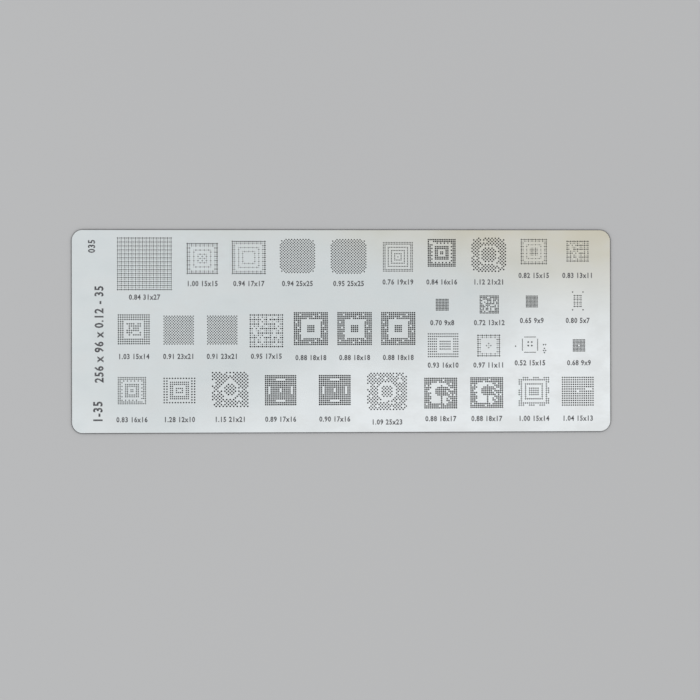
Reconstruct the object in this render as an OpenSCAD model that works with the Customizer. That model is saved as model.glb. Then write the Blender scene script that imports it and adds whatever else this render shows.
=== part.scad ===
// Solder paste stencil: one thin, flat sheet of spring steel with rounded
// corners, drilled through with fields of small round apertures. Each field
// has the pad layout of one chip package: a full grid, concentric rings, a
// staggered grid or a dense block. The sheet lies flat on Z = 0, its length
// along X, with its origin under the middle of the sheet.

/* [Sheet] */
// Length of the sheet along X
sheet_w = 256; // [250:1:300]
// Width of the sheet along Y
sheet_h = 96; // [92:1:140]
// Thickness of the steel
sheet_t = 0.12; // [0.08:0.01:0.3]
// Radius of the four corners
corner_r = 5; // [1:0.5:8]

/* [Apertures] */
// Diameter of the apertures in the package fields
hole_d = 0.7; // [0.3:0.05:0.8]
// Diameter of the apertures in the universal grid
grid_hole_d = 0.95; // [0.4:0.05:1.2]
// Side-to-side spacing of the universal grid
grid_pitch_x = 1.7; // [1.4:0.05:1.8]
// Front-to-back spacing of the universal grid
grid_pitch_y = 1.9; // [1.4:0.05:2.0]

/* [Rows of fields] */
// Height of the back row's centre line above the sheet's middle
back_row_y = 35; // [33:0.5:37]
// Height of the second row's centre line
second_row_y = 1; // [-1:0.5:3]
// Height of the small packages' centre line, right of the second row
small_row_y = 13; // [12:0.5:15]
// Height of the third row's centre line, right of the second row
third_row_y = -7; // [-8:0.5:-5]
// Height of the front row's centre line
front_row_y = -28.5; // [-31:0.5:-27]

/* [Hidden] */

// Steps along a circle; it comes out as a true bore
hole_fn = 24;
corner_fn = 96;

// Field styles
FULL = "full";
STAGGERED = "staggered";

// One package field:
// [centre x, centre y, span x, span y, columns, rows, style, rings, windows]
// The spans run between the centres of the outermost apertures. Rings lists
// the rings that are drilled, counted inwards from 0, and [] means all of
// them. A window is a rectangle [centre x, centre y, width, height] without
// apertures, placed from the field's own centre.
back_row = [
  [-65.5, back_row_y - 0.5, 14, 14, 8, 8, FULL, [0, 2, 3], []],
  [-43.5, back_row_y, 15.5, 15.5, 9, 9, FULL, [0, 2], []],
  [-20, back_row_y + 0.5, 16, 15.5, 13, 13, STAGGERED, [], []],
  [4, back_row_y + 0.5, 16, 15.5, 13, 13, STAGGERED, [], []],
  [27.5, back_row_y, 14, 14, 9, 9, FULL, [0, 2, 4], []],
  [48, back_row_y + 2, 12.5, 12.5, 9, 9, FULL, [0, 1, 3, 4], [[-5.5, 5.5, 3, 3]]],
  [70.5, back_row_y + 1, 15.5, 15.5, 13, 13, STAGGERED, [0, 1, 2, 4, 5, 6], []],
  [92, back_row_y + 2.5, 12, 12, 8, 8, FULL, [0, 2, 3], []],
  [113, back_row_y + 2.5, 10, 10, 6, 6, FULL, [], [[2, -1, 1.5, 1.5]]],
];

second_row = [
  [-98.5, second_row_y, 14.5, 13.5, 9, 9, FULL, [0, 1, 3, 4], []],
  [-76.5, second_row_y - 0.5, 14, 13, 11, 11, STAGGERED, [], []],
  [-56, second_row_y - 0.5, 14, 13, 11, 11, STAGGERED, [], []],
  [-35, second_row_y - 0.5, 15.5, 14.5, 8, 8, FULL, [],
    [[-1, 1, 2, 2], [3.3, 5.2, 2, 2], [-5.5, -1, 2, 2]]],
  [-14, second_row_y, 15.5, 15, 9, 9, FULL, [0, 1, 4], []],
  [6.5, second_row_y, 15.5, 15, 9, 9, FULL, [0, 1, 4], []],
  [27.5, second_row_y, 15.5, 15, 9, 9, FULL, [0, 1, 4], []],
];

small_row = [
  [48.5, small_row_y - 0.5, 5.5, 5, 4, 4, FULL, [], []],
  [71, small_row_y - 0.5, 8.5, 8, 5, 5, FULL, [], [[1.5, 2, 2.5, 2.5]]],
  [91, small_row_y + 0.5, 5, 5, 4, 4, FULL, [], []],
  [112.5, small_row_y + 1, 3, 5, 3, 4, FULL, [], []],
];

third_row = [
  [48.5, third_row_y, 14.5, 11, 9, 7, FULL, [0, 1, 3], []],
  [70.5, third_row_y, 11, 11, 7, 7, FULL, [0, 1, 3], []],
  [90, third_row_y, 7, 7, 7, 7, FULL, [0], []],
  [90, third_row_y, 1.6, 1.6, 2, 2, FULL, [], []],
  [113, third_row_y, 5.5, 5, 4, 4, FULL, [], []],
];

front_row = [
  [-99.5, front_row_y, 13, 12.5, 9, 9, FULL, [0, 1, 3, 4], [[5.5, -5.5, 3, 3]]],
  [-76.5, front_row_y, 15.5, 13, 9, 8, FULL, [0, 2, 3], []],
  [-52.5, front_row_y, 17, 16, 13, 13, STAGGERED, [0, 1, 2, 4, 5, 6], []],
  [-28.5, front_row_y, 14, 13.5, 9, 9, FULL, [],
    [[0, 5, 4, 1], [0, -5, 4, 1], [5, 0, 1, 4], [-5, 0, 1, 4], [0, 0, 1, 1]]],
  [-2.5, front_row_y, 14, 13.5, 9, 9, FULL, [],
    [[0, 5, 4, 1], [0, -5, 4, 1], [5, 0, 1, 4], [-5, 0, 1, 4], [0, 0, 1, 1]]],
  [22.5, front_row_y - 0.5, 18.5, 17, 15, 13, STAGGERED, [0, 1, 2, 4, 5, 6], []],
  [47.5, front_row_y - 1, 15.5, 14.5, 9, 9, FULL, [0, 1, 3, 4], []],
  [69.5, front_row_y - 1, 15.5, 14.5, 9, 9, FULL, [0, 1, 3, 4], []],
  [92, front_row_y - 0.5, 14.5, 13.5, 8, 8, FULL, [0, 2, 3], []],
  [113, front_row_y - 0.5, 15.5, 14, 9, 8, FULL, [], [[0, 0, 2, 2.5]]],
];

// Single apertures beside two of the packages, as [x, y]
lone_holes = [
  [110, small_row_y + 5.5], [115, small_row_y + 5.5],
  [110, small_row_y - 3], [115, small_row_y - 3],
  [83.5, third_row_y - 0.5],
  [97, third_row_y + 0.5], [97, third_row_y - 1.5], [97, third_row_y - 3.5],
];

grid_x = -93.5;
grid_y = 32;
grid_columns = 16;
grid_rows = 14;

// Which ring of a field the aperture in column i and row j lies on
function ring_of(i, j, columns, rows) = min(i, j, columns - 1 - i, rows - 1 - j);

function on_ring(ring, rings) = len(rings) == 0 || len(search(ring, rings)) > 0;

function on_stagger(i, j, style) = style != STAGGERED || (i + j) % 2 == 0;

function in_window(x, y, window) =
  abs(x - window[0]) <= window[2] / 2 && abs(y - window[1]) <= window[3] / 2;

function clear_of_windows(x, y, windows) =
  len([for (window = windows) if (in_window(x, y, window)) window]) == 0;

module aperture(d) {
  circle(d = d, $fn = hole_fn);
}

module package_field(field) {
  columns = field[4];
  rows = field[5];
  for (i = [0 : columns - 1], j = [0 : rows - 1]) {
    x = (i / (columns - 1) - 0.5) * field[2];
    y = (j / (rows - 1) - 0.5) * field[3];
    if (on_stagger(i, j, field[6])
        && on_ring(ring_of(i, j, columns, rows), field[7])
        && clear_of_windows(x, y, field[8]))
      translate([field[0] + x, field[1] + y]) aperture(hole_d);
  }
}

module universal_grid() {
  for (i = [0 : grid_columns - 1], j = [0 : grid_rows - 1])
    translate([
      grid_x + (i - (grid_columns - 1) / 2) * grid_pitch_x,
      grid_y + (j - (grid_rows - 1) / 2) * grid_pitch_y
    ]) aperture(grid_hole_d);
}

module outline() {
  difference() {
    square([sheet_w, sheet_h], center = true);
    for (side = [-1, 1], end = [-1, 1])
      translate([side * sheet_w / 2, end * sheet_h / 2]) corner_waste(side, end);
  }
}

// What is cut away outside one rounded corner
module corner_waste(side, end) {
  difference() {
    square(2 * corner_r, center = true);
    translate([-side * corner_r, -end * corner_r]) circle(r = corner_r, $fn = corner_fn);
  }
}

module stencil() {
  color("silver")
    linear_extrude(height = sheet_t)
      difference() {
        outline();
        universal_grid();
        for (field = concat(back_row, second_row, small_row, third_row, front_row))
          package_field(field);
        for (place = lone_holes)
          translate(place) aperture(hole_d);
      }
}

stencil();
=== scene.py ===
"""Solder paste stencil: the finish of the drilled steel sheet with its painted reflections, its etched
numbers and a plain studio whose floor has painted shade under the sheet.
"""

import math
import typing

import bmesh
import bpy
from mathutils import Matrix, Vector


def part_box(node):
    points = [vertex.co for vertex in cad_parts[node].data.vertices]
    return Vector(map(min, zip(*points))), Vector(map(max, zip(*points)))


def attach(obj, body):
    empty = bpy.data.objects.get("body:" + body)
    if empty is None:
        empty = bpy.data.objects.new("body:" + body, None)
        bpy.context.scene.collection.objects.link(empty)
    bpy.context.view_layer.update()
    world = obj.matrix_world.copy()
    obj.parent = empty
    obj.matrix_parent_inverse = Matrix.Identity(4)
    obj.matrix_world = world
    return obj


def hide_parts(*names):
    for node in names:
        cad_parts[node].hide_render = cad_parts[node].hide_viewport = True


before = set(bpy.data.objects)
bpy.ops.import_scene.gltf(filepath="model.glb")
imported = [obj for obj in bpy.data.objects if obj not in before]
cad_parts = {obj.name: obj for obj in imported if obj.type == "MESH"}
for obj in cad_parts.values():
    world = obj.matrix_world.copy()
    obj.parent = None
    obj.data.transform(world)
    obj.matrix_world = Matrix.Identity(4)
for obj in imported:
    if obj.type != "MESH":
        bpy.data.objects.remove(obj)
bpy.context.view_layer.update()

MM = 0.001
SHEET_LOW, SHEET_HIGH = (Vector(corner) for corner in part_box("stencil"))

# ---- sizes, in millimetres ----
CORNER_RADIUS = 5.0
CORNER_STEPS = 14
APERTURE_SIDES = 6
OPEN = 0.74              # aperture diameter over pitch in an ordinary field
DENSE = 0.93             # the same in a dense block
PLAID = (1.22, 0.92, 0.5)    # how wide the apertures of a plaid field are, by odd column and row

BACK_ROW = 35.0
SECOND_ROW = 1.0
SMALL_ROW = 13.0
THIRD_ROW = -7.0
FRONT_ROW = -28.0

# the lines that the numbers stand on, as heights above the sheet's middle
GRID_LINE = 16.1
BACK_LINE, BACK_MIDDLE_LINE, BACK_RIGHT_LINE = 22.5, 23.2, 26.3
SECOND_LINE, SECOND_RIGHT_LINE = -12.0, -12.7
SMALL_LINE, SMALL_RIGHT_LINE = 3.8, 4.8
THIRD_LINE, THIRD_RIGHT_LINE = -16.4, -15.4
FRONT_LINE, FRONT_MIDDLE_LINE = -41.9, -43.4

NUMBER_HEIGHT = 2.5
NUMBER_SIZE = 1.36       # font size over the height of a digit
NUMBER_SPACING = 1.12
NUMBER_NARROWING = 0.86
NUMBER_BOLDNESS = 0.1
NUMBER_DEPTH = 0.05
NUMBER_PROUD = 0.008


# ---- which apertures a field keeps ----
def ring_of(i, j, columns, rows):
    """The ring that an aperture lies on, counted inwards from 0."""
    return min(i, j, columns - 1 - i, rows - 1 - j)


def stray(i, j, share):
    """Whether an aperture is one of the stray ones that a package has no pad for."""
    return (math.sin(12.9 * i + 78.2 * j) * 437.5) % 1 < share


def every(i, j, ring, x, y):
    return True


def cross_windowed(i, j, ring, x, y):
    """Rings round a window that a cross divides."""
    return ring != 6 or min(abs(x), abs(y)) < 0.1


def zigzag(i, j, ring, x, y):
    """Every other aperture of the third ring."""
    return ring != 2 or (i + j) % 2 == 0


def woven(i, j, ring, x, y):
    """A band with gaps that run across it in slanting lines."""
    return not 0 < ring < 4 or (i + 2 * j) % 5 != 0 or (i - j) % 2 == 0


def strewn(i, j, ring, x, y):
    """A grid with stray apertures missing inside its rim."""
    return ring < 1 or not stray(i, j, 0.2)


def ragged_middle(i, j, ring, x, y):
    return ring < 4 or not stray(i, j, 0.3)


def mazed(i, j, ring, x, y):
    return ring < 1 or not stray(i, j, 0.3)


def clustered(i, j, ring, x, y):
    """A woven rim, a round cluster on a stem and a half-filled right side."""
    if ring < 3:
        return woven(i, j, ring, x, y)
    if math.hypot(x - 0.3, y - 0.9) < 2.7 or (abs(x - 0.4) < 0.5 and y < 0):
        return True
    return x > 3 and (i + j) % 3 != 0 or x < -4 and stray(i, j, 0.3)


def crossed(i, j, ring, x, y):
    """A rim round a small cross."""
    return ring < 2 or (min(abs(x), abs(y)) < 0.6 and max(abs(x), abs(y)) < 1.6)


def notched(i, j, ring, x, y):
    """An outer ring that is missing two apertures in every five."""
    return ring != 0 or (i + j) % 5 < 3


def studs(i, j, ring, x, y):
    """One ring of single apertures, and a second one at the two sides."""
    return ring == 0 or (i in (1, 10) and j not in (0, 9))


def inset(i, j, ring, x, y):
    """A block with a clear frame round it, nearer to the right than to the left."""
    inside = 5 <= i <= 12 and 2 <= j <= 7
    return not inside or (6 <= i <= 11 and 3 <= j <= 6)


def framed(inner, outer, strays):
    """A rule for a block in a clear eight-sided frame, with stray apertures missing round it."""
    def keep(i, j, ring, x, y):
        reach = max(abs(x), abs(y), 0.68 * (abs(x) + abs(y)))
        return reach < inner or (reach > outer and not stray(i, j, strays))
    return keep


# windows of a dense block: a bar near each side and a square in the middle
SIDE_BARS = (
    (0, 5.2, 3.6, 0.7), (0, -5.2, 3.6, 0.7), (5.6, 0, 0.7, 3.6), (-5.6, 0, 0.7, 3.6),
    (0, 0, 1.3, 1.3),
)


class Field(typing.NamedTuple):
    """The apertures of one package. Spans run between the centres of its outermost apertures."""
    x: float
    y: float
    span_x: float
    span_y: float
    columns: int
    rows: int
    number_line: float = None    # no number where there is none
    staggered: bool = False
    keep: typing.Callable = every
    rings_out: tuple = ()
    bare: tuple = ()             # windows: centre x and y from the field's middle, width, height
    corner: float = 0            # radius that the field's corners are rounded to
    share: float = OPEN
    plaid: bool = False


FIELDS = [
    Field(-93.8, 32, 25.2, 24.4, 31, 27, GRID_LINE, plaid=True),
    # back row
    Field(-66.5, BACK_ROW - 0.5, 14, 14, 15, 15, BACK_LINE,
          keep=cross_windowed, rings_out=(2, 4), plaid=True),
    Field(-44.5, BACK_ROW, 15.3, 15.1, 17, 17, BACK_LINE, rings_out=(2, 4, 6, 7, 8), plaid=True),
    Field(-21.4, BACK_ROW + 0.7, 16.2, 15.7, 25, 25, BACK_LINE, staggered=True, corner=1.8),
    Field(2.9, BACK_ROW + 0.5, 16.4, 15.9, 25, 25, BACK_LINE, staggered=True, corner=1.8),
    Field(26.4, BACK_ROW + 0.3, 13.8, 13.6, 19, 19, BACK_MIDDLE_LINE, rings_out=(2, 4, 6, 8)),
    Field(47.3, BACK_ROW + 2.2, 12.7, 12.6, 16, 16, BACK_MIDDLE_LINE, keep=zigzag, rings_out=(3, 6),
          bare=((-5.1, 5.1, 1.4, 1.4), (-3.6, 3.9, 1.5, 1.5)), share=DENSE),
    Field(69.8, BACK_ROW + 1.3, 15.9, 15.7, 21, 21, BACK_MIDDLE_LINE, staggered=True,
          keep=framed(3.4, 4.6, 0.04), corner=1.8,
          bare=((-3.1, 6.4, 1, 1.2), (-1.6, 6.1, 0.7, 1.2), (-3.4, -5.6, 2, 1), (5.4, -5.1, 1.6, 0.8))),
    Field(91.4, BACK_ROW + 2.8, 11.9, 11.5, 15, 15, BACK_RIGHT_LINE, rings_out=(2, 4), plaid=True),
    Field(112.4, BACK_ROW + 3, 10, 9.4, 13, 11, BACK_RIGHT_LINE, keep=strewn, plaid=True),
    # second row
    Field(-98.9, SECOND_ROW, 14.4, 13.6, 15, 14, SECOND_LINE, keep=ragged_middle, rings_out=(3,)),
    Field(-77.7, SECOND_ROW - 0.4, 13.8, 13.2, 23, 21, SECOND_LINE, staggered=True),
    Field(-57.1, SECOND_ROW - 0.4, 13.8, 13.2, 23, 21, SECOND_LINE, staggered=True),
    Field(-36.2, SECOND_ROW - 0.8, 15.2, 15, 17, 15, SECOND_LINE, keep=strewn, plaid=True),
    Field(-15.1, SECOND_ROW + 0.2, 15.5, 15, 18, 18, SECOND_RIGHT_LINE, keep=woven,
          rings_out=(4, 5, 6), share=DENSE),
    Field(5.7, SECOND_ROW + 0.2, 15.7, 15, 18, 18, SECOND_RIGHT_LINE, keep=woven,
          rings_out=(4, 5, 6), share=DENSE),
    Field(26.5, SECOND_ROW + 0.2, 15.6, 15, 18, 18, SECOND_RIGHT_LINE, keep=woven,
          rings_out=(4, 5, 6), share=DENSE),
    # small packages
    Field(47.5, SMALL_ROW - 0.5, 5.6, 5.1, 9, 8, SMALL_LINE, share=DENSE, bare=((-2.1, 1.4, 0.4, 0.4),)),
    Field(70, SMALL_ROW - 0.4, 8.6, 8.1, 13, 12, SMALL_LINE, keep=mazed, share=DENSE,
          bare=((1.6, 2, 0.9, 2.4), (1.8, -2.3, 0.9, 1.8))),
    Field(90.4, SMALL_ROW + 1, 5.2, 5.2, 9, 9, SMALL_RIGHT_LINE, share=DENSE),
    Field(112.4, SMALL_ROW + 1.2, 3.2, 5.2, 5, 7, SMALL_RIGHT_LINE, plaid=True),
    # third row
    Field(47.9, THIRD_ROW + 0.2, 14, 10.8, 16, 10, THIRD_LINE, keep=inset),
    Field(69.7, THIRD_ROW, 10.2, 9.7, 11, 11, THIRD_LINE, keep=crossed, plaid=True),
    Field(89.5, THIRD_ROW + 0.4, 7.3, 7.3, 15, 15, THIRD_RIGHT_LINE, rings_out=(1, 2, 3, 4, 5, 6, 7),
          corner=0.9, share=DENSE),
    Field(89.5, THIRD_ROW + 0.8, 1.7, 1.7, 2, 2, share=0.5),
    Field(113, THIRD_ROW, 5.4, 5.4, 9, 9, THIRD_RIGHT_LINE, bare=((0, 0, 1, 0.6),), share=DENSE),
    # front row
    Field(-99.8, FRONT_ROW, 12.8, 12.4, 16, 16, FRONT_LINE, keep=zigzag, rings_out=(3, 6),
          bare=((5.3, -5.1, 1.2, 1.4), (3.8, -3.9, 1.5, 1.5))),
    Field(-77.4, FRONT_ROW, 14.4, 11.5, 12, 10, FRONT_LINE, keep=studs, share=0.62),
    Field(-77.4, FRONT_ROW, 8.4, 7.8, 10, 9, rings_out=(2, 4)),
    Field(-53.4, FRONT_ROW + 0.4, 16.6, 16, 21, 21, FRONT_LINE, staggered=True, keep=framed(3, 4.1, 0.09),
          bare=((-4.4, 0.4, 1.4, 2), (-0.6, 7, 1.2, 0.7), (0, 5, 2.4, 0.6), (3.6, -4.4, 2, 0.9))),
    Field(-29.5, FRONT_ROW, 14.2, 13.7, 17, 16, FRONT_LINE, bare=SIDE_BARS, share=DENSE),
    Field(-3.8, FRONT_ROW, 14.4, 13.7, 17, 16, FRONT_LINE, bare=SIDE_BARS, share=DENSE),
    Field(21.1, FRONT_ROW - 0.7, 18.3, 17.1, 25, 23, FRONT_MIDDLE_LINE, staggered=True,
          keep=framed(2.9, 4, 0.08), bare=((6.2, 5.2, 1.8, 1.8), (-5.6, 3, 1.4, 0.9), (5.6, -4, 1, 1.6)),
          corner=1.4),
    Field(46.7, FRONT_ROW - 1.6, 15, 14, 18, 17, FRONT_LINE, keep=clustered, share=DENSE),
    Field(68.7, FRONT_ROW - 1.4, 15, 14, 18, 17, FRONT_LINE, keep=clustered, share=DENSE),
    Field(91.3, FRONT_ROW - 0.9, 14, 13.1, 15, 14, FRONT_LINE, keep=notched, rings_out=(2, 4)),
    Field(112.4, FRONT_ROW - 0.9, 14.6, 13.2, 15, 13, FRONT_LINE,
          bare=((0, 0.3, 1.8, 1.2), (-5.4, 3.6, 2.6, 0.6), (5.4, 0.9, 2.6, 0.6), (-5.4, -2.7, 2.6, 0.6))),
]

LONE_APERTURE = 0.7
LONE_PLACES = [
    (110, SMALL_ROW + 5.5), (115, SMALL_ROW + 5.5), (110, SMALL_ROW - 3), (115, SMALL_ROW - 3),
    (82.6, THIRD_ROW - 0.3), (96, THIRD_ROW + 0.4), (97, THIRD_ROW + 0.4), (96.4, THIRD_ROW - 1.4),
    (96, THIRD_ROW - 2.4), (97, THIRD_ROW - 2.4), (96.4, THIRD_ROW - 3.4),
]


def in_window(x, y, windows):
    return any(abs(x - w[0]) <= w[2] / 2 and abs(y - w[1]) <= w[3] / 2 for w in windows)


def off_corner(x, y, field):
    """Whether a place lies outside the field's rounded corners."""
    if field.corner == 0:
        return False
    over_x = max(0, abs(x) - field.span_x / 2 + field.corner)
    over_y = max(0, abs(y) - field.span_y / 2 + field.corner)
    return math.hypot(over_x, over_y) > field.corner


def field_pitch(field):
    """The distance from an aperture to its nearest neighbour."""
    step_x = field.span_x / (field.columns - 1)
    step_y = field.span_y / (field.rows - 1)
    if field.staggered:
        return math.hypot(step_x, step_y)
    return min(step_x, step_y)


def field_apertures(field):
    """The apertures of one field, as (x, y, diameter) in millimetres."""
    for i in range(field.columns):
        for j in range(field.rows):
            x = (i / (field.columns - 1) - 0.5) * field.span_x
            y = (j / (field.rows - 1) - 0.5) * field.span_y
            ring = ring_of(i, j, field.columns, field.rows)
            if field.staggered and (i + j) % 2 == 1:
                continue
            if ring in field.rings_out or in_window(x, y, field.bare) or off_corner(x, y, field):
                continue
            if field.keep(i, j, ring, x, y):
                width = PLAID[i % 2 + j % 2] if field.plaid else 1
                yield field.x + x, field.y + y, width * field.share * field_pitch(field)


def all_apertures():
    places = [(x, y, LONE_APERTURE) for x, y in LONE_PLACES]
    for field in FIELDS:
        places += field_apertures(field)
    return places


# ---- node helpers ----
def new_material(name):
    material = bpy.data.materials.new(name)
    material.use_nodes = True
    nodes = material.node_tree.nodes
    return material, nodes, material.node_tree.links, nodes["Principled BSDF"]


def noise(nodes, links, vector, scale, detail=3.0, roughness=0.5):
    node = nodes.new("ShaderNodeTexNoise")
    node.inputs["Scale"].default_value = scale
    node.inputs["Detail"].default_value = detail
    node.inputs["Roughness"].default_value = roughness
    links.new(vector, node.inputs["Vector"])
    return node.outputs["Fac"]


def stretched(nodes, links, vector, scale):
    node = nodes.new("ShaderNodeMapping")
    node.inputs["Scale"].default_value = scale
    links.new(vector, node.inputs["Vector"])
    return node.outputs["Vector"]


def spread(nodes, links, value, low, high, to_low, to_high):
    """Takes value from the range low..high to to_low..to_high, smoothly and without overshoot."""
    node = nodes.new("ShaderNodeMapRange")
    node.interpolation_type = "SMOOTHSTEP"
    for name, number in (("From Min", low), ("From Max", high), ("To Min", to_low), ("To Max", to_high)):
        node.inputs[name].default_value = number
    links.new(value, node.inputs["Value"])
    return node.outputs["Result"]


def maths(nodes, links, operation, a, b):
    node = nodes.new("ShaderNodeMath")
    node.operation = operation
    for socket, value in zip(node.inputs, (a, b)):
        if isinstance(value, (int, float)):
            socket.default_value = value
        else:
            links.new(value, socket)
    return node.outputs["Value"]


def mixed(nodes, links, share, a, b):
    """Colour a where share is 0, colour b where it is 1."""
    node = nodes.new("ShaderNodeMix")
    node.data_type = "RGBA"
    links.new(share, node.inputs["Factor"])
    for socket, colour in ((node.inputs[6], a), (node.inputs[7], b)):
        if isinstance(colour, tuple):
            socket.default_value = (*colour, 1)
        else:
            links.new(colour, socket)
    return node.outputs[2]


# ---- materials ----
def rolled_steel():
    """Pale matte steel, softly clouded, with painted reflections in its colour: a yellowish painted
    reflection at the back right and a pale painted highlight at the front right.
    """
    material, nodes, links, shader = new_material("rolled steel")
    place = nodes.new("ShaderNodeTexCoord").outputs["Object"]
    split = nodes.new("ShaderNodeSeparateXYZ")
    links.new(place, split.inputs["Vector"])
    clouds = noise(nodes, links, place, 16, 3)
    wisps = noise(nodes, links, stretched(nodes, links, place, (1, 1.7, 1)), 46, 4, 0.6)
    grain = noise(nodes, links, stretched(nodes, links, place, (160, 2600, 160)), 1, 2)

    drift = maths(nodes, links, "MULTIPLY", clouds, 0.1)
    # painted reflection: the colour goes from cool grey to yellowish towards the back right, a tint of the
    # surroundings painted into the steel
    back_right = maths(nodes, links, "ADD", maths(nodes, links, "MULTIPLY", split.outputs["X"], 0.6),
                       maths(nodes, links, "MULTIPLY", split.outputs["Y"], 2.2))
    painted_warm_reflection = spread(nodes, links, maths(nodes, links, "ADD", back_right, drift), 0.1, 0.24, 0, 1)
    base = mixed(nodes, links, painted_warm_reflection, (0.69, 0.73, 0.735), (0.63, 0.595, 0.485))
    # painted highlight: the colour goes paler, nearly white, towards the front right, a highlight painted
    # into the steel
    front_right = maths(nodes, links, "SUBTRACT", maths(nodes, links, "MULTIPLY", split.outputs["X"], 0.3),
                        split.outputs["Y"])
    painted_highlight = spread(nodes, links, maths(nodes, links, "ADD", front_right, drift), 0.04, 0.12, 0, 1)
    base = mixed(nodes, links, painted_highlight, base, (0.9, 0.93, 0.94))
    patches = spread(nodes, links, wisps, 0.38, 0.66, 0, 0.35)
    colour = mixed(nodes, links, patches, base, (0.60, 0.605, 0.60))
    links.new(colour, shader.inputs["Base Color"])

    shader.inputs["Metallic"].default_value = 0.9
    rough = spread(nodes, links, wisps, 0.3, 0.7, 0.36, 0.5)
    links.new(rough, shader.inputs["Roughness"])

    height = maths(nodes, links, "ADD", maths(nodes, links, "MULTIPLY", clouds, 1.0),
                   maths(nodes, links, "MULTIPLY", grain, 0.004))
    bump = nodes.new("ShaderNodeBump")
    bump.inputs["Strength"].default_value = 0.5
    bump.inputs["Distance"].default_value = 0.002
    links.new(height, bump.inputs["Height"])
    links.new(bump.outputs["Normal"], shader.inputs["Normal"])
    return material


def cut_edge():
    """The walls of the apertures and the sheet's rim: dull, browned by the cutting."""
    material, nodes, links, shader = new_material("cut edge")
    place = nodes.new("ShaderNodeTexCoord").outputs["Object"]
    streaks = noise(nodes, links, stretched(nodes, links, place, (900, 900, 9000)), 1, 3)
    colour = mixed(nodes, links, streaks, (0.10, 0.09, 0.08), (0.22, 0.21, 0.20))
    links.new(colour, shader.inputs["Base Color"])
    shader.inputs["Metallic"].default_value = 0.5
    links.new(spread(nodes, links, streaks, 0.2, 0.8, 0.5, 0.75), shader.inputs["Roughness"])
    return material


def etched_black():
    """The dark oxide of the etched numbers, a little uneven."""
    material, nodes, links, shader = new_material("etched black")
    place = nodes.new("ShaderNodeTexCoord").outputs["Object"]
    blotches = noise(nodes, links, place, 700, 3, 0.6)
    colour = mixed(nodes, links, spread(nodes, links, blotches, 0.35, 0.7, 0, 1),
                   (0.035, 0.035, 0.04), (0.13, 0.13, 0.135))
    links.new(colour, shader.inputs["Base Color"])
    links.new(spread(nodes, links, blotches, 0.3, 0.7, 0.5, 0.7), shader.inputs["Roughness"])
    return material


def studio_floor():
    """A plain pale floor, whose shade right under the sheet is deepened."""
    material, nodes, links, shader = new_material("studio floor")
    place = nodes.new("ShaderNodeTexCoord").outputs["Object"]
    tone = noise(nodes, links, place, 3, 2)
    pale = mixed(nodes, links, tone, (0.44, 0.44, 0.445), (0.46, 0.46, 0.46))
    shade = nodes.new("ShaderNodeAmbientOcclusion")
    shade.inputs["Distance"].default_value = SHADE_REACH
    shade.samples = 8
    shaded = spread(nodes, links, shade.outputs["AO"], 0.55, 0.95, 0, 1)
    links.new(mixed(nodes, links, shaded, (0.03, 0.03, 0.032), pale), shader.inputs["Base Color"])
    shader.inputs["Roughness"].default_value = 0.9
    shader.inputs["Specular IOR Level"].default_value = 0.1
    return material


# ---- the sheet ----
def link(name, mesh):
    piece = bpy.data.objects.new(name, mesh)
    bpy.context.scene.collection.objects.link(piece)
    return piece


def rounded_outline():
    """Points round the sheet's outline, counter-clockwise from above, in metres."""
    radius = CORNER_RADIUS * MM
    corners = [
        (SHEET_HIGH.x - radius, SHEET_HIGH.y - radius),
        (SHEET_LOW.x + radius, SHEET_HIGH.y - radius),
        (SHEET_LOW.x + radius, SHEET_LOW.y + radius),
        (SHEET_HIGH.x - radius, SHEET_LOW.y + radius),
    ]
    points = []
    for quarter, (x, y) in enumerate(corners):
        for step in range(CORNER_STEPS + 1):
            angle = (quarter + step / CORNER_STEPS) * math.pi / 2
            points.append((x + radius * math.cos(angle), y + radius * math.sin(angle)))
    return points


def blank_sheet():
    """The sheet before drilling, as a closed prism."""
    points = rounded_outline()
    form = bmesh.new()
    bottom = [form.verts.new((x, y, SHEET_LOW.z)) for x, y in points]
    top = [form.verts.new((x, y, SHEET_HIGH.z)) for x, y in points]
    form.faces.new(top)
    form.faces.new(reversed(bottom))
    for k in range(len(points)):
        after = (k + 1) % len(points)
        form.faces.new((bottom[k], bottom[after], top[after], top[k]))
    mesh = bpy.data.meshes.new("stencil_sheet")
    form.to_mesh(mesh)
    form.free()
    return link("stencil_sheet", mesh)


def aperture_points():
    """One loose vertex per aperture, with its radius as an attribute."""
    places = all_apertures()
    middle = (SHEET_LOW.z + SHEET_HIGH.z) / 2
    mesh = bpy.data.meshes.new("aperture places")
    mesh.from_pydata([(x * MM, y * MM, middle) for x, y, _ in places], [], [])
    radius = mesh.attributes.new("radius", "FLOAT", "POINT")
    radius.data.foreach_set("value", [diameter / 2 * MM for _, _, diameter in places])
    return link("aperture places", mesh)


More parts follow.
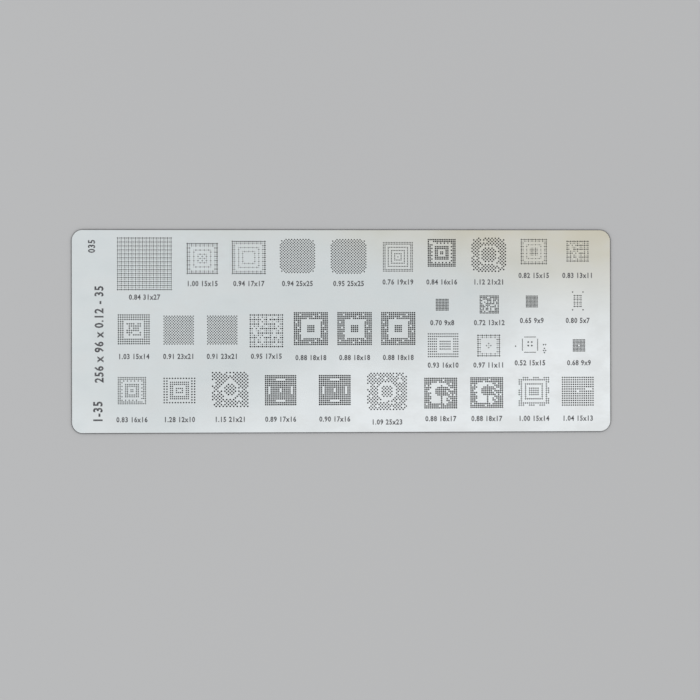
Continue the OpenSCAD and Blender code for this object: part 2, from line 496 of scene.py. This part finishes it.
def drill_tree():
    """Geometry Nodes: a prism on each aperture's place, cut from the sheet all at once."""
    tree = bpy.data.node_groups.new("drill apertures", "GeometryNodeTree")
    for name, kind in (("Sheet", "Geometry"), ("Places", "Object"), ("Sides", "Int"), ("Depth", "Float"),
                       ("Face Material", "Material"), ("Wall Material", "Material")):
        tree.interface.new_socket(name, in_out="INPUT", socket_type="NodeSocket" + kind)
    tree.interface.new_socket("Drilled", in_out="OUTPUT", socket_type="NodeSocketGeometry")
    nodes, links = tree.nodes, tree.links
    given = nodes.new("NodeGroupInput")
    places = nodes.new("GeometryNodeObjectInfo")
    links.new(given.outputs["Places"], places.inputs["Object"])

    prism = nodes.new("GeometryNodeMeshCylinder")
    links.new(given.outputs["Sides"], prism.inputs["Vertices"])
    links.new(given.outputs["Depth"], prism.inputs["Depth"])
    prism.inputs["Radius"].default_value = 1.0
    radius = nodes.new("GeometryNodeInputNamedAttribute")
    radius.data_type = "FLOAT"
    radius.inputs["Name"].default_value = "radius"
    size = nodes.new("ShaderNodeCombineXYZ")
    size.inputs["Z"].default_value = 1.0
    for axis in "XY":
        links.new(radius.outputs["Attribute"], size.inputs[axis])
    copies = nodes.new("GeometryNodeInstanceOnPoints")
    links.new(places.outputs["Geometry"], copies.inputs["Points"])
    links.new(prism.outputs["Mesh"], copies.inputs["Instance"])
    links.new(size.outputs["Vector"], copies.inputs["Scale"])
    tools = nodes.new("GeometryNodeRealizeInstances")
    links.new(copies.outputs["Instances"], tools.inputs["Geometry"])

    cut = nodes.new("GeometryNodeMeshBoolean")
    cut.operation = "DIFFERENCE"
    cut.solver = "MANIFOLD"
    links.new(given.outputs["Sheet"], cut.inputs["Mesh 1"])
    links.new(tools.outputs["Geometry"], cut.inputs["Mesh 2"])

    normal = nodes.new("GeometryNodeInputNormal")
    split = nodes.new("ShaderNodeSeparateXYZ")
    links.new(normal.outputs["Normal"], split.inputs["Vector"])
    upright = nodes.new("ShaderNodeMath")
    upright.operation = "ABSOLUTE"
    links.new(split.outputs["Z"], upright.inputs[0])
    is_wall = nodes.new("FunctionNodeCompare")
    is_wall.operation = "LESS_THAN"
    is_wall.inputs["B"].default_value = 0.5
    links.new(upright.outputs["Value"], is_wall.inputs["A"])

    whole = nodes.new("GeometryNodeRealizeInstances")
    links.new(cut.outputs["Mesh"], whole.inputs["Geometry"])
    face = nodes.new("GeometryNodeSetMaterial")
    links.new(whole.outputs["Geometry"], face.inputs["Geometry"])
    links.new(given.outputs["Face Material"], face.inputs["Material"])
    wall = nodes.new("GeometryNodeSetMaterial")
    links.new(face.outputs["Geometry"], wall.inputs["Geometry"])
    links.new(is_wall.outputs["Result"], wall.inputs["Selection"])
    links.new(given.outputs["Wall Material"], wall.inputs["Material"])
    result = nodes.new("NodeGroupOutput")
    links.new(wall.outputs["Geometry"], result.inputs["Drilled"])
    return tree


def set_inputs(modifier, values):
    for item in modifier.node_group.interface.items_tree:
        if item.in_out == "INPUT" and item.name in values:
            modifier[item.identifier] = values[item.name]


def apply_tree(piece, tree, values):
    """Runs a Geometry Nodes tree on a piece and keeps the result as its plain mesh."""
    modifier = piece.modifiers.new(tree.name, "NODES")
    modifier.node_group = tree
    set_inputs(modifier, values)
    depsgraph = bpy.context.evaluated_depsgraph_get()
    mesh = bpy.data.meshes.new_from_object(piece.evaluated_get(depsgraph), depsgraph=depsgraph)
    piece.modifiers.remove(modifier)
    piece.data = mesh


def drilled_sheet(face_material, wall_material):
    sheet = blank_sheet()
    places = aperture_points()
    apply_tree(sheet, drill_tree(), {
        "Places": places,
        "Sides": APERTURE_SIDES,
        "Depth": 4 * (SHEET_HIGH.z - SHEET_LOW.z),
        "Face Material": face_material,
        "Wall Material": wall_material,
    })
    bpy.data.objects.remove(places)
    return sheet


# ---- the etched numbers ----
def number_mesh(text, x, y, height, quarter_turns=0):
    """One number as a thin solid, centred on x, y on the sheet's top, in millimetres."""
    curve = bpy.data.curves.new("number", "FONT")
    curve.body = text
    curve.align_x = "CENTER"
    curve.align_y = "CENTER"
    curve.resolution_u = 2
    curve.size = height * NUMBER_SIZE * MM
    curve.offset = NUMBER_BOLDNESS * MM * height / NUMBER_HEIGHT
    curve.extrude = NUMBER_DEPTH / 2 * MM
    curve.space_character = NUMBER_SPACING
    letters = link("number", curve)
    depsgraph = bpy.context.evaluated_depsgraph_get()
    mesh = bpy.data.meshes.new_from_object(letters.evaluated_get(depsgraph))
    bpy.data.objects.remove(letters)
    middle = SHEET_HIGH.z + (NUMBER_PROUD - NUMBER_DEPTH / 2) * MM
    narrow = Matrix.Diagonal((NUMBER_NARROWING, 1, 1, 1))
    turn = Matrix.Rotation(quarter_turns * math.pi / 2, 4, "Z")
    mesh.transform(Matrix.Translation((x * MM, y * MM, middle)) @ turn @ narrow)
    return mesh


def number_texts():
    """Each number, as text, place, height and quarter turns. They give pitches and counts."""
    for field in FIELDS:
        if field.number_line is not None:
            text = f"{field_pitch(field):.2f} {field.columns}x{field.rows}"
            yield text, field.x, field.number_line, NUMBER_HEIGHT, 0
    yield "035", -118.5, 40.3, 3.3, 1
    yield "256 x 96 x 0.12 - 35", -115.0, -1.3, 4.2, 1
    yield "1-35", -115.6, -38.1, 4.4, 1


def etched_numbers(material):
    form = bmesh.new()
    for text, x, y, height, turns in number_texts():
        mesh = number_mesh(text, x, y, height, turns)
        form.from_mesh(mesh)
        bpy.data.meshes.remove(mesh)
    bmesh.ops.remove_doubles(form, verts=form.verts, dist=1e-7)
    bmesh.ops.recalc_face_normals(form, faces=form.faces)
    whole = bpy.data.meshes.new("etched_numbers")
    form.to_mesh(whole)
    form.free()
    whole.materials.clear()
    whole.materials.append(material)
    return link("etched_numbers", whole)


# ---- studio, in metres ----
FLOOR_HALF = 3.0         # half the side of the floor
FLOOR_GAP = 0.0005       # the stage floor lies this far under the sheet, so that its apertures look dark
SHADE_REACH = 0.003      # how near the sheet the floor's shade is deepened
CAMERA_DISTANCE = 0.93
VIEW_WIDTH = 0.3328      # width of the floor that the picture spans
CAMERA_LEAN = math.radians(2.5)
CAMERA_ROLL = math.radians(-0.115)
TARGET = Vector((0.0035, -0.0089, 0.0))


def floor():
    mesh = bpy.data.meshes.new("floor")
    corners = [(side * FLOOR_HALF, end * FLOOR_HALF) for side, end in ((-1, -1), (1, -1), (1, 1), (-1, 1))]
    mesh.from_pydata([(x, y, SHEET_LOW.z - FLOOR_GAP) for x, y in corners], [], [(0, 1, 2, 3)])
    mesh.materials.append(studio_floor())
    return link("floor", mesh)


def camera():
    data = bpy.data.cameras.new("camera")
    data.sensor_width = 36.0
    data.lens = data.sensor_width * CAMERA_DISTANCE / VIEW_WIDTH
    data.clip_start = 0.01
    eye = link("camera", data)
    eye.location = TARGET + CAMERA_DISTANCE * Vector((-math.sin(CAMERA_LEAN), 0, math.cos(CAMERA_LEAN)))
    eye.rotation_euler = (0, -CAMERA_LEAN, CAMERA_ROLL)
    bpy.context.scene.camera = eye


def softbox(name, place, size, power, colour):
    data = bpy.data.lights.new(name, "AREA")
    data.shape = "RECTANGLE"
    data.size, data.size_y = size
    data.energy = power
    data.color = colour
    lamp = link(name, data)
    lamp.location = place
    lamp.rotation_euler = (-Vector(place)).to_track_quat("-Z", "Y").to_euler()


def studio():
    camera()
    softbox("left softbox", (-1.6, -0.5, 1.7), (1.2, 1.2), 16, (0.96, 0.98, 1.0))
    softbox("right softbox", (1.5, 1.1, 1.8), (1.2, 1.2), 12, (1.0, 0.97, 0.93))
    world = bpy.data.worlds.new("studio")
    world.use_nodes = True
    sky = world.node_tree.nodes["Background"]
    sky.inputs["Color"].default_value = (0.9, 0.91, 0.92, 1)
    sky.inputs["Strength"].default_value = 0.85
    bpy.context.scene.world = world
    bpy.context.scene.view_settings.view_transform = "Standard"


sheet = drilled_sheet(rolled_steel(), cut_edge())
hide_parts("stencil")
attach(sheet, "root")

numbers = etched_numbers(etched_black())
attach(numbers, "root")

floor()
studio()
